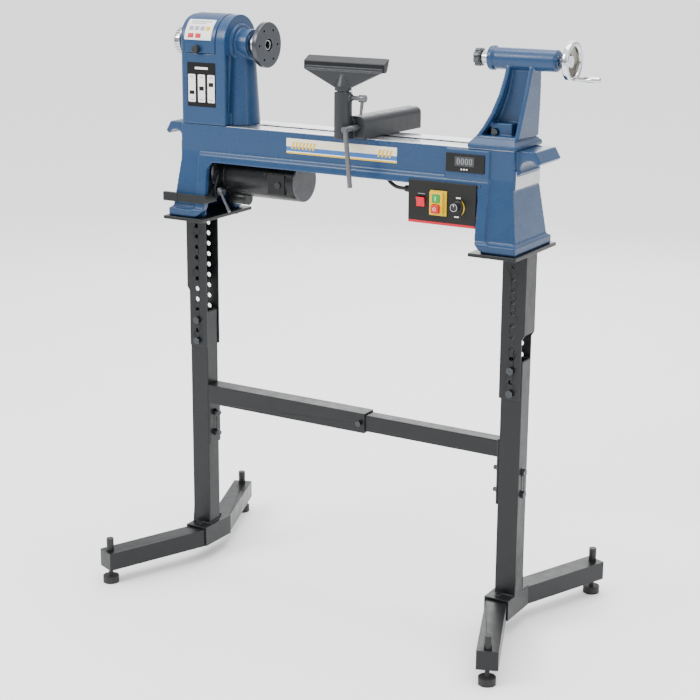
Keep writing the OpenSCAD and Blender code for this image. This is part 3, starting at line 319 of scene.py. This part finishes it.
def prism_bm(pts, axis, a0, a1, bm=None):
    """Solid from an outline: axis "y" takes (x, z), "x" takes (y, z), "z" takes (x, y)."""
    bm = bm or bmesh.new()
    put = {"y": lambda p, a: (p[0], a, p[1]), "x": lambda p, a: (a, p[0], p[1]),
           "z": lambda p, a: (p[0], p[1], a)}[axis]
    lo = [bm.verts.new(put(p, a0)) for p in pts]
    hi = [bm.verts.new(put(p, a1)) for p in pts]
    bm.faces.new(lo)
    bm.faces.new(hi[::-1])
    for i in range(len(pts)):
        j = (i + 1) % len(pts)
        bm.faces.new((lo[i], lo[j], hi[j], hi[i]))
    return bm


def rrect(cx, cy, w, h, r, n=5):
    """A rectangle's outline with rounded corners of n steps each."""
    out = []
    for sx, sy, a in ((1, 1, 0), (-1, 1, 90), (-1, -1, 180), (1, -1, 270)):
        for i in range(n + 1):
            t = math.radians(a + 90 * i / n)
            out.append((cx + sx * (w / 2 - r) + r * math.cos(t), cy + sy * (h / 2 - r) + r * math.sin(t)))
    return out


def lathe_bm(profile, axis, centre, seg=96, bm=None):
    """Revolves (radius, along) points about an axis through centre; ends at radius 0 are closed."""
    bm = bm or bmesh.new()
    c = Vector(centre)
    u, v, w = {"x": ((0, 1, 0), (0, 0, 1), (1, 0, 0)), "y": ((0, 0, 1), (1, 0, 0), (0, 1, 0)),
               "z": ((1, 0, 0), (0, 1, 0), (0, 0, 1))}[axis]
    u, v, w = Vector(u), Vector(v), Vector(w)
    rows = []
    for r, a in profile:
        if r < 1e-7:
            rows.append([bm.verts.new(c + w * a)])
        else:
            turns = [2 * math.pi * k / seg for k in range(seg)]
            rows.append([bm.verts.new(c + w * a + r * (u * math.cos(t) + v * math.sin(t))) for t in turns])
    for p, q in zip(rows, rows[1:]):
        for k in range(seg):
            m = (k + 1) % seg
            if len(p) == 1 and len(q) == 1:
                continue
            if len(p) == 1:
                bm.faces.new((p[0], q[m], q[k]))
            elif len(q) == 1:
                bm.faces.new((p[k], p[m], q[0]))
            else:
                bm.faces.new((p[k], p[m], q[m], q[k]))
    return bm


def turned(name, profile, axis, centre, mat, body, bevel=0.0, seg=96, angle=30.0, segs=2):
    return finish_mesh(lathe_bm(profile, axis, centre, seg), name, mat, body, angle, bevel, segs)


def cut(ob, cutter):
    """Boolean difference, applied."""
    m = ob.modifiers.new("cut", "BOOLEAN")
    m.operation = "DIFFERENCE"
    m.solver = "EXACT"
    m.object = cutter
    apply_mods(ob)
    bpy.data.objects.remove(cutter, do_unlink=True)


def apply_mods(ob):
    dg = bpy.context.evaluated_depsgraph_get()
    dg.update()
    me = bpy.data.meshes.new_from_object(ob.evaluated_get(dg))
    ob.modifiers.clear()
    ob.data = me


def dress(node, mat, bevel=0.0008, segs=2, angle=33.0):
    """Keeps a CAD node: welds it, rounds its edges and gives it a finish."""
    ob = NODES[node]
    ob.data.materials.clear()
    ob.data.materials.append(M[mat])
    w = ob.modifiers.new("weld", "WELD")
    w.merge_threshold = 0.00002
    if bevel:
        add_bevel(ob, bevel, segs, angle)
    return ob


def cast(node, name, mat, body, voxel, rounds=6, factor=0.5, edit=None):
    """A soft-edged casting made from the CAD solid: voxel remesh, then smoothing that fillets every edge."""
    src = NODES[node]
    me = src.data.copy()
    ob = bpy.data.objects.new(name, me)
    bpy.context.scene.collection.objects.link(ob)
    if edit:
        for v in me.vertices:
            v.co = edit(v.co.copy())
    r = ob.modifiers.new("remesh", "REMESH")
    r.mode = "VOXEL"
    r.voxel_size = voxel
    r.use_smooth_shade = True
    s = ob.modifiers.new("soften", "SMOOTH")
    s.factor = factor
    s.iterations = rounds
    apply_mods(ob)
    ob.data.materials.clear()
    ob.data.materials.append(M[mat])
    ob.data.polygons.foreach_set("use_smooth", [True] * len(ob.data.polygons))
    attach(ob, body)
    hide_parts(node)
    return ob


def cable(name, pts, r, mat, body, res=8):
    cu = bpy.data.curves.new(name, "CURVE")
    cu.dimensions = "3D"
    cu.bevel_depth = r
    cu.bevel_resolution = 6
    cu.resolution_u = res
    cu.use_fill_caps = True
    sp = cu.splines.new("BEZIER")
    sp.bezier_points.add(len(pts) - 1)
    for b, p in zip(sp.bezier_points, pts):
        b.co = p
        b.handle_left_type = b.handle_right_type = "AUTO"
    ob = bpy.data.objects.new(name, cu)
    bpy.context.scene.collection.objects.link(ob)
    cu.materials.append(M[mat])
    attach(ob, body)
    return ob


def replace(ob, *nodes):
    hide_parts(*nodes)
    return ob


def sticker(name, pts, y, mat, body, thick=PRINT):
    """A thin printed piece on a face that looks to -Y; pts are (x, z) in bed millimetres."""
    pts = [(X(a), b / 1000) for a, b in pts]
    return finish_mesh(prism_bm(pts, "y", y - thick, y), name, mat, body, 30)


def box_pts(x0, x1, z0, z1, r=0.0):
    if not r:
        return [(x0, z0), (x1, z0), (x1, z1), (x0, z1)]
    return rrect((x0 + x1) / 2, (z0 + z1) / 2, x1 - x0, z1 - z0, r, 4)


def round_patch(name, x0, x1, t0, t1, r0, r1, mat, body):
    """A thin curved label on the belt door: x in bed millimetres, t in degrees up from the front."""
    bm = bmesh.new()
    rows = []
    for i in range(25):
        t = math.radians(t0 + (t1 - t0) * i / 24)
        rows.append([bm.verts.new((X(x), -r * math.cos(t), SZ + r * math.sin(t))) for x, r in
                     ((x0, r0), (x1, r0), (x1, r1), (x0, r1))])
    for p, q in zip(rows, rows[1:]):
        for k in range(4):
            bm.faces.new((p[k], p[(k + 1) % 4], q[(k + 1) % 4], q[k]))
    bm.faces.new(rows[0])
    bm.faces.new(rows[-1][::-1])
    return finish_mesh(bm, name, mat, body, 30)


# ---------------------------------------------------------------- camera, lights, floor
def camera():
    """The photo's camera: its angles, place and lens were fitted to the photo."""
    yaw, pitch, roll = math.radians(32.02), math.radians(14.47), math.radians(-0.06)
    place = (1.80093 + BX, -3.04819, 1.5479)
    fwd = Vector((-math.sin(yaw) * math.cos(pitch), math.cos(yaw) * math.cos(pitch), -math.sin(pitch)))
    right = Vector((math.cos(yaw), math.sin(yaw), 0))
    down = fwd.cross(right)
    r2 = math.cos(roll) * right + math.sin(roll) * down
    d2 = -math.sin(roll) * right + math.cos(roll) * down
    cam = bpy.data.cameras.new("photo_camera")
    cam.sensor_width = 36
    cam.lens = 84.28
    cam.shift_x = 0.0553
    cam.shift_y = -0.0397
    ob = bpy.data.objects.new("photo_camera", cam)
    m = Matrix((r2, -d2, -fwd)).transposed().to_4x4()
    m.translation = place
    ob.matrix_world = m
    bpy.context.scene.collection.objects.link(ob)
    bpy.context.scene.camera = ob


def softbox(name, loc, target, size, power, size_y=None):
    li = bpy.data.lights.new(name, "AREA")
    li.shape = "RECTANGLE"
    li.size = size
    li.size_y = size_y or size
    li.energy = power
    ob = bpy.data.objects.new(name, li)
    ob.location = loc
    ob.rotation_euler = (Vector(target) - Vector(loc)).to_track_quat("-Z", "Y").to_euler()
    bpy.context.scene.collection.objects.link(ob)


def studio():
    """Four soft boxes, a graded world and a paper floor."""
    softbox("key", (-2.2, -3.2, 3.6), (0, 0, 0.9), 1.8, 150)
    softbox("right_fill", (3.4, -1.2, 1.9), (0, 0, 0.8), 1.4, 22, 2.2)
    softbox("top", (0.2, 0.3, 3.8), (0, 0, 0.9), 2.2, 100)
    softbox("rear", (-1.2, 3.2, 2.4), (0, 0, 0.9), 2.4, 60)
    w = bpy.data.worlds.new("studio")
    bpy.context.scene.world = w
    w.use_nodes = True
    t = w.node_tree
    bg = t.nodes["Background"]
    co = t.nodes.new("ShaderNodeTexCoord")
    sep = t.nodes.new("ShaderNodeSeparateXYZ")
    ramp = t.nodes.new("ShaderNodeValToRGB")
    ramp.color_ramp.elements[0].position = 0.5
    ramp.color_ramp.elements[0].color = (0.16, 0.165, 0.172, 1)
    ramp.color_ramp.elements[1].position = 0.97
    ramp.color_ramp.elements[1].color = (1, 1, 1, 1)
    e = ramp.color_ramp.elements.new(0.68)
    e.color = (0.58, 0.585, 0.59, 1)
    mr = t.nodes.new("ShaderNodeMapRange")
    mr.inputs["From Min"].default_value = -1
    t.links.new(co.outputs["Generated"], sep.inputs[0])
    t.links.new(sep.outputs["Z"], mr.inputs["Value"])
    t.links.new(mr.outputs["Result"], ramp.inputs["Fac"])
    t.links.new(ramp.outputs["Color"], bg.inputs["Color"])
    bg.inputs["Strength"].default_value = 2.35
    bm = bmesh.new()
    bmesh.ops.create_circle(bm, cap_ends=True, segments=96, radius=60.0)
    me = bpy.data.meshes.new("studio_floor")
    bm.to_mesh(me)
    bm.free()
    fl = bpy.data.objects.new("studio_floor", me)
    bpy.context.scene.collection.objects.link(fl)
    g = Graph("floor_paper")
    g.link(g.mix(g.noise(1.5, 3.0), (0.93, 0.93, 0.93), (0.96, 0.96, 0.96)), g.bsdf.inputs["Base Color"])
    g.bsdf.inputs["Roughness"].default_value = 0.85
    g.link(g.bump(g.noise(300.0, 2.0), 0.0001), g.bsdf.inputs["Normal"])
    me.materials.append(g.mat)


camera()
studio()


# ---------------------------------------------------------------- stand
for n in ("lower_leg_left", "lower_leg_right", "foot_arm_front_left", "foot_arm_rear_left",
          "foot_arm_front_right", "foot_arm_rear_right", "crossbar_outer", "crossbar_inner"):
    dress(n, "stand", 0.0022, 3)
for n in ("upper_leg_left", "upper_leg_right"):
    dress(n, "stand", 0.0009, 2)
for n in ("foot_front_left", "foot_rear_left", "foot_front_right", "foot_rear_right"):
    dress(n, "rubber", 0.0022, 3)
dress("foot_lock_nuts", "black", 0.0018, 3)
dress("stand_bolts", "bolt", 0.0008)
dress("casting_bolts", "bolt", 0.0008)


# ---------------------------------------------------------------- bed
def lower_top(co):
    """Leaves room for the ground top, which is a piece of its own."""
    if co.z > W - 0.0004:
        co.z = W - 0.0006
    return co


cast("bed", "bed_casting", "blue", "machine", 0.0017, 7, 0.5, lower_top)


def ways():
    """The ground top of the bed, with the slot between the two ways."""
    bm = prism_bm(rrect(X(61), 0, 0.704, 0.1244, 0.002), "z", W - 0.004, W - 0.00005)
    ob = finish_mesh(bm, "ways", "ways", "machine", 30)
    slot_bm = prism_bm(rrect(X(73), 0, 0.646, 0.023, 0.0114), "z", W - 0.01, W + 0.01)
    cut(ob, finish_mesh(slot_bm, "c1", "ways", "machine"))
    add_bevel(ob, 0.0005, 2)


ways()
END_PAD = [(-0.0585, 0.9795), (0.0585, 0.9795), (0.0575, 1.0165), (-0.0575, 1.0165)]
finish_mesh(prism_bm(END_PAD, "x", X(414), X(417.1)), "bed_end_pad", "ways", "machine", 30, 0.0006)


# ---------------------------------------------------------------- castings
cast("headstock", "headstock_casting", "blue", "machine", 0.0014, 6)
cast("belt_door", "belt_door_casting", "blue", "door", 0.0011, 3)
cast("tailstock", "tailstock_casting", "blue", "tailstock_body", 0.0013, 5)
cast("banjo", "banjo_casting", "dark", "banjo_arm", 0.0012, 5)
cast("tool_rest_blade", "tool_rest_casting", "dark", "rest_blade", 0.0011, 3)


# ---------------------------------------------------------------- printed plates, generic marks only
def speed_plate():
    plate = 0.0006
    outline = box_pts(-393, -316.5, 1098, 1196, 2.5)
    sticker("speed_plate", outline, HEAD_FRONT, "print_black", "machine", plate)
    y = HEAD_FRONT - plate
    sticker("speed_plate_rule", box_pts(-372, -337, 1181, 1186, 1.2), y, "print_white", "machine")
    bars = ((-390.5, -371, 1125, 1133), (-364, -345, 1134, 1143), (-338, -319, 1143.5, 1152.5))
    for i, (x0, x1, z0, z1) in enumerate(bars):
        sticker("speed_bar_%d" % i, box_pts(x0, x1, 1108, 1169.5, 2.2), y, "print_white", "machine")
        mark = box_pts(x0 + 3, x1 - 3, z0, z1, 0.8)
        sticker("speed_mark_%d" % i, mark, y - PRINT, "print_black", "machine")
        for k, z in enumerate((1112.5, 1162.5)):
            tick = box_pts(x0 + 5, x1 - 5, z, z + 2.2)
            sticker("speed_tick_%d_%d" % (i, k), tick, y - PRINT, "print_grey", "machine")


def door_label():
    r = 0.0650
    round_patch("door_label", -400, -328, 8, 53, r - 0.0004, r + 0.0003, "print_white", "door")
    top = r + 0.0005
    marks = ((-391, -337, 46, 49, "print_grey"), (-391, -349, 41.5, 43.5, "print_grey"),
             (-391, -380, 27, 36, "print_grey"), (-376, -365, 27, 36, "print_grey"),
             (-361, -350, 27, 36, "print_grey"), (-346, -335, 27, 36, "print_yellow"),
             (-391, -376, 12, 21, "panel_red"), (-371, -356, 12, 21, "panel_red"))
    for i, (x0, x1, t0, t1, m) in enumerate(marks):
        round_patch("door_label_mark_%d" % i, x0, x1, t0, t1, r + 0.0001, top, m, "door")


def bed_sticker():
    y = BED_FRONT
    x0, x1 = -130, 145
    for name, z0, z1, m in (("light", 1027, 1045, "print_cream"), ("blue", 1017, 1027, "print_blue"),
                            ("white", 1015.2, 1017, "print_white"), ("line", 1012, 1015.2, "print_yellow")):
        sticker("name_plate_" + name, box_pts(x0, x1, z0, z1), y, m, "machine")
    for name, first, count in (("slash_", -118, 7), ("slash_r", 98, 4)):
        for i in range(count):
            a = first + 9 * i
            slash = [(a, 1022), (a + 4.5, 1022), (a + 9.5, 1038), (a + 5, 1038)]
            sticker("name_plate_%s%d" % (name, i), slash, y - PRINT, "print_yellow", "machine")


# ---------------------------------------------------------------- display and switch panel
def digit(name, x, z, h, y):
    """A nought in lit segments; x, z is its lower left corner."""
    w, t = h * 0.52, h * 0.12
    m = z + h / 2
    segs = {"a": (x, x + w, z + h - t, z + h), "d": (x, x + w, z, z + t), "f": (x, x + t, m, z + h),
            "b": (x + w - t, x + w, m, z + h), "e": (x, x + t, z, m), "c": (x + w - t, x + w, z, m)}
    for k in "abcdef":
        sticker(name + k, box_pts(*segs[k]), y, "lcd_on", "machine", 0.0002)


def display():
    y = DISPLAY_FRONT
    window = 0.0004
    sticker("display_window", box_pts(285, 329, 1020.5, 1040, 1.0), y, "lcd", "machine", window)
    for i in range(4):
        digit("digit_%d" % i, 290 + 9.3 * i, 1024, 12.5, y - window)
    for i in range(3):
        mark = box_pts(299 + 6 * i, 302.5 + 6 * i, 1012.5, 1015.5, 0.8)
        sticker("display_mark_%d" % i, mark, y, "print_white", "machine")


def quad_bezier(p, q, r, n=14):
    steps = [i / n for i in range(n + 1)]
    return [tuple((1 - t) ** 2 * a + 2 * t * (1 - t) * b + t * t * c for a, b, c in zip(p, q, r))
            for t in steps]


def panel_details():
    y = PANEL_FRONT
    sticker("panel_stripe", box_pts(180.6, 336, 894.4, 899.6), y, "panel_red", "machine")
    outer = quad_bezier((303.2, 950.5), (321.5, 934), (300.5, 914.5))
    inner = quad_bezier((303.6, 917.5), (314.5, 934), (303.2, 950.5))
    sticker("speed_arc", outer + inner[:-1], y, "print_yellow", "machine")
    sticker("dial_high", box_pts(291.5, 302, 953, 956, 0.8), y, "print_white", "machine")
    sticker("dial_low", box_pts(288, 299, 913.5, 916, 0.8), y, "print_white", "machine")
    sticker("rocker_mark", box_pts(203, 219, 955.6, 956.8), y, "print_grey", "machine")
    c = (X(297), 0, 0.9375)
    replace(knob(c), "speed_knob")
    ring = [(0.0072, -0.0957), (0.0080, -0.0957), (0.0080, -0.0961), (0.0072, -0.0961), (0.0072, -0.0957)]
    turned("knob_ring", ring, "y", c, "chrome", "speed_dial", 0, 64)
    pointer = [(X(296.5), 0.9395), (X(297.5), 0.9395), (X(297.5), 0.9440), (X(296.5), 0.9440)]
    finish_mesh(prism_bm(pointer, "y", -0.0960, -0.0956), "knob_pointer", "print_white", "speed_dial")
    for i, (x, z, yy) in enumerate(((341.9, 981.5, -0.0712), (341.9, 919.3, -0.0776))):
        screw = [(0, yy + 0.0005), (0.0026, yy + 0.0005), (0.0025, yy - 0.0008), (0.0016, yy - 0.0014),
                 (0.0009, yy - 0.0014), (0.0008, yy - 0.0006), (0, yy - 0.0006)]
        turned("panel_screw_%d" % i, screw, "y", (X(x), 0, z / 1000), "bolt", "machine", 0, 32)
    bar = box_pts(248.6, 250.2, 945.5, 955)
    sticker("start_mark", bar, -0.0860, "print_white", "start_button", 0.0002)
    ring = [(0.0026, -0.0905), (0.0036, -0.0905), (0.0036, -0.0907), (0.0026, -0.0907), (0.0026, -0.0905)]
    turned("stop_mark", ring, "y", (X(249.5), 0, 0.9290), "print_white", "stop_button", 0, 48)


def knob(c):
    """Finger-grip dial: a flanged skirt under a fluted cap."""
    steps, flutes = 192, 24
    bm = bmesh.new()
    rows = []
    for y, r, wave in ((-0.0756, 0.0119, 0), (-0.0790, 0.0119, 0), (-0.0802, 0.0110, 0),
                       (-0.0808, 0.0094, 0.0003), (-0.0945, 0.0090, 0.0004), (-0.0955, 0.0083, 0.0002)):
        row = []
        for k in range(steps):
            a = 2 * math.pi * k / steps
            ra = r + wave * math.cos(flutes * a)
            row.append(bm.verts.new((c[0] + ra * math.cos(a), y, c[2] + ra * math.sin(a))))
        rows.append(row)
    for p, q in zip(rows, rows[1:]):
        for k in range(steps):
            m = (k + 1) % steps
            bm.faces.new((p[k], p[m], q[m], q[k]))
    bm.faces.new(rows[0])
    bm.faces.new(rows[-1][::-1])
    return finish_mesh(bm, "dial_cap", "black", "speed_dial", 40)


# ---------------------------------------------------------------- turned and gripped pieces
def wavy(cx, cz, r, depth, count, n=240, power=1.0):
    """A round outline of n points with count grooves of the given depth."""
    out = []
    for k in range(n):
        a = 2 * math.pi * k / n
        w = (0.5 + 0.5 * math.cos(count * a)) ** power
        out.append((cx + (r - depth * w) * math.cos(a), cz + (r - depth * w) * math.sin(a)))
    return out


def door_knob():
    grip = prism_bm(wavy(X(-364), 1.2255, 0.0085, 0.0007, 22), "y", -0.0768, -0.0656)
    ob = finish_mesh(grip, "door_knob_grip", "black", "door_catch", 50, 0.0007, 2)
    replace(ob, "door_knob")


def live_centre():
    x = X(308)
    ring = prism_bm(wavy(0, SZ, 0.0190, 0.0034, 8, 240, 3.0), "x", x - 0.0140, x - 0.0016)
    ob = finish_mesh(ring, "centre_ring", "facing", "centre", 50, 0.0011, 3)
    replace(ob, "live_centre")
    point = [(0, -0.0228), (0.0052, -0.0165), (0.0064, -0.0162), (0.0118, -0.0158), (0.0146, -0.0150),
             (0.0158, -0.0120), (0.0150, -0.0022), (0.0172, -0.0012), (0.0172, -0.0001), (0, -0.0001)]
    turned("centre_point", point, "x", (x, 0, SZ), "facing", "centre", 0.0003, 96)


def motor_details():
    r = 0.0466
    seam = [(r - 0.002, -0.0010), (r, -0.0010), (r + 0.0002, 0), (r, 0.0010), (r - 0.002, 0.0010),
            (r - 0.002, -0.0010)]
    for i, x in enumerate((-311.5, -200.5, -142.0)):
        turned("motor_seam_%d" % i, seam, "x", (X(x), 0, MOTOR_Z), "motor", "motor_group", 0, 128)
    screw = [(0, -0.0012), (0.0022, -0.0012), (0.0022, -0.0004), (0.0012, -0.0002), (0, -0.0008)]
    for i, a in enumerate((45, 225)):
        t = math.radians(a)
        place = (X(-121.5), -0.036 * math.sin(t), MOTOR_Z + 0.036 * math.cos(t))
        turned("end_screw_%d" % i, screw, "x", place, "bolt", "motor_group", 0, 32)
    cap = [(0, -0.0004), (0.0070, -0.0004), (0.0074, 0.0006), (0.0074, 0.0020), (0, 0.0020)]
    turned("brush_cap", cap, "y", (X(-163), -0.0512, 0.935), "black", "motor_group", 0.0003, 48)


def motor_lead():
    """The held cable, along the CAD node's own points."""
    pts = [(157, -45, 958), (146, -45, 958), (134, -45, 960), (122, -44, 966), (110, -42, 976),
           (98, -39, 987), (84, -35, 996), (66, -30, 1001), (44, -24, 1004), (14, -16, 1006),
           (-16, -8, 1007), (-46, 1, 1007), (-76, 11, 1006), (-104, 20, 1004), (-128, 27, 1001),
           (-146, 31, 999), (-158, 32, 998), (-168, 32, 998)]
    replace(cable("motor_lead", [mm(*p) for p in pts], 0.004, "cable", "machine"), "motor_cable")
    rib = [(0.0060, -0.0011), (0.0071, -0.0011), (0.0074, 0), (0.0071, 0.0011), (0.0060, 0.0011),
           (0.0060, -0.0011)]
    for i in range(4):
        turned("gland_rib_%d" % i, rib, "x", (X(160 + 3.4 * i), -0.045, 0.958), "cable", "machine", 0, 64)


def rest_shadow_band():
    """The shaded band under the T-rest's sloped top."""
    lo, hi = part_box("tool_rest_blade")
    pts = [(lo[0] + 0.001, 1.2018), (hi[0] - 0.001, 1.2018), (hi[0] - 0.001, 1.2168), (lo[0] + 0.001, 1.2168)]
    return finish_mesh(prism_bm(pts, "y", -0.0921, -0.0912), "rest_shadow_band", "shadow_paint", "rest_blade", 30)


def outboard_slots():
    """Grip slots round the outboard handwheel, one mesh: near-black sheets that paint the shade inside the
    slots.
    """
    count = 28
    bm = bmesh.new()
    for i in range(count):
        t = 2 * math.pi * i / count
        turn = Matrix.Translation((0, 0, SZ)) @ Matrix.Rotation(t, 4, "X")
        part = prism_bm(rrect(X(-448.5), 0, 0.0105, 0.0020, 0.0009, 3), "z", 0.0288, 0.0295)
        part.transform(turn)
        me = bpy.data.meshes.new("slot_tmp")
        part.to_mesh(me)
        part.free()
        bm.from_mesh(me)
        bpy.data.meshes.remove(me)
    return finish_mesh(bm, "outboard_slots", "shadow_paint", "spindle_group", 30)


def dish_liner():
    """The handwheel's turned inside, duller than its rim."""
    mm_profile = [(15.2, 498.4), (28.7, 502.3), (29.7, 506.8), (29.3, 506.8), (28.2, 502.8), (15.2, 498.9),
                  (15.2, 498.4)]
    profile = [(r / 1000, X(x)) for r, x in mm_profile]
    turned("dish_liner", profile, "x", (0, 0, SZ), "dish", "feed_wheel", 0, 96)


rest_shadow_band()
dish_liner()
outboard_slots()
speed_plate()
door_label()
bed_sticker()
display()
panel_details()
door_knob()
live_centre()
motor_details()
motor_lead()


FINISH = {
    "spindle": "steel", "spindle_bearings": "steel", "hinge_pins": "steel", "spindle_pulley": "alu",
    "motor_pulley": "alu", "faceplate": "facing", "outboard_handwheel": "chrome", "motor": "motor",
    "motor_end_cover": "motor_end", "motor_terminal_box": "motor", "motor_plate": "stand",
    "tension_handle": "stand", "lock_bracket": "stand", "lock_lever": "dark_bar", "control_box": "panel",
    "rocker_switch": "red", "switch_housing": "yellow", "green_button": "green", "red_button": "red",
    "cable_gland": "black", "speed_display": "gloss_black", "banjo_clamp_plate": "bolt",
    "banjo_stud": "steel", "banjo_lever": "dark_bar", "tool_rest_post": "facing",
    "rest_lock_lever": "dark_bar", "tailstock_clamp": "bolt", "tailstock_lever": "bolt",
    "quill": "steel", "tail_handwheel": "chrome", "tail_handle": "chrome", "drive_belt": "belt",
}
for node_name, finish in FINISH.items():
    dress(node_name, finish)
